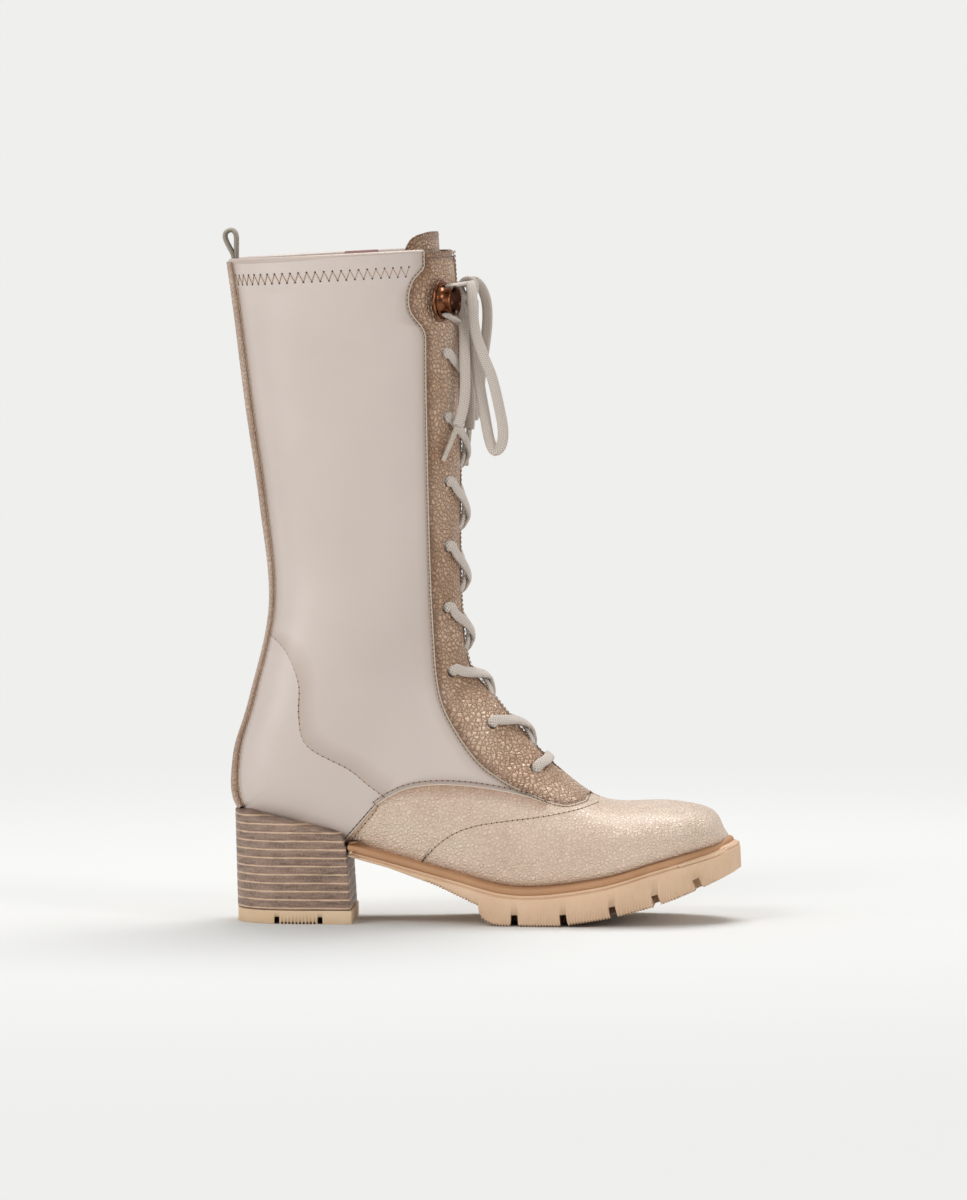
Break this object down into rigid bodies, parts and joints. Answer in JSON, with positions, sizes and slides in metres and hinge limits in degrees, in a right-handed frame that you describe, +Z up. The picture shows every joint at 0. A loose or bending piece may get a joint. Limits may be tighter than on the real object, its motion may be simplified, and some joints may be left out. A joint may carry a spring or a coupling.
{
  "type": "lace-up heeled boot",
  "caption": "Women's lace-up calf boot with block heel, lug sole, side zip, copper lace hooks and a tied bow",
  "frame": {"origin": "middle of the bounding box on the ground, without the loose bow loops and lace ends", "axes": "+X to the toe, +Y to the inner side of the foot, +Z up"},
  "size_m": [0.2632, 0.1066, 0.3568],
  "materials": {
    "smooth_leather": "smooth matt, greige beige",
    "pebble_leather": "fine pebble grain, soft satin, champagne nude",
    "bronze_leather": "pebble grain with a metallic bronze cast, burnished edges",
    "lining_fabric": "dusty pink textile lining",
    "fibre_board": "raw fibre board",
    "sole_rubber": "matt sand rubber",
    "heel_stack": "stacked look, thin dark and light layers",
    "webbing": "woven grosgrain tape",
    "zip_tape": "woven zip tape",
    "copper": "polished antique copper plating",
    "lace_cotton": "flat oval braided cotton",
    "aglet_plastic": "clear-coated lace tip"
  },
  "bodies": {
    "boot": {"toe_vamp": "pebble_leather", "wing_lateral": "pebble_leather", "wing_medial": "pebble_leather", "shaft_lateral": "smooth_leather", "shaft_medial": "smooth_leather", "counter_lateral": "smooth_leather", "counter_medial": "smooth_leather", "back_strap": "bronze_leather", "facing_lateral": "bronze_leather", "facing_medial": "bronze_leather", "lining_vamp": "lining_fabric", "lining_lateral": "lining_fabric", "lining_medial": "lining_fabric", "tongue": "bronze_leather", "insole_board": "fibre_board", "footbed": "lining_fabric", "outsole": "sole_rubber", "welt": "sole_rubber", "heel_block": "heel_stack", "heel_top_lift": "sole_rubber", "zip_tape_front": "zip_tape", "zip_tape_rear": "zip_tape", "zip_teeth_front": "copper", "zip_teeth_rear": "copper", "zip_bottom_stop": "copper", "hook_lateral": "copper", "hook_medial": "copper", "lace_run": "lace_cotton", "bow_knot": "lace_cotton", "bow_loop_lateral": "lace_cotton", "bow_loop_medial": "lace_cotton", "lace_end_lateral": "lace_cotton", "lace_end_medial": "lace_cotton", "aglet_lateral": "aglet_plastic", "aglet_medial": "aglet_plastic"},
    "slider": {"zip_slider": "copper"},
    "pull": {"zip_pull": "copper"},
    "heel_loop": {"pull_loop": "webbing"}
  },
  "joints": [
    {"name": "zip_slide", "type": "slide", "parent": "boot", "child": "slider", "axis": [0.0149, -0.0752, -0.9971], "range_m": [0, 0.18]},
    {"name": "zip_pull_swing", "type": "hinge", "parent": "slider", "child": "pull", "pos_m": [-0.06224, 0.05141, 0.3343], "axis": [0.9997, -0.0206, 0.0165], "range_deg": [0, 165]},
    {"name": "pull_loop_bend", "type": "hinge", "parent": "boot", "child": "heel_loop", "pos_m": [-0.12755, -0.00216, 0.3442], "axis": [0, 1, 0], "range_deg": [-35, 35], "stiffness_Nm_per_rad": 0.01}
  ]
}
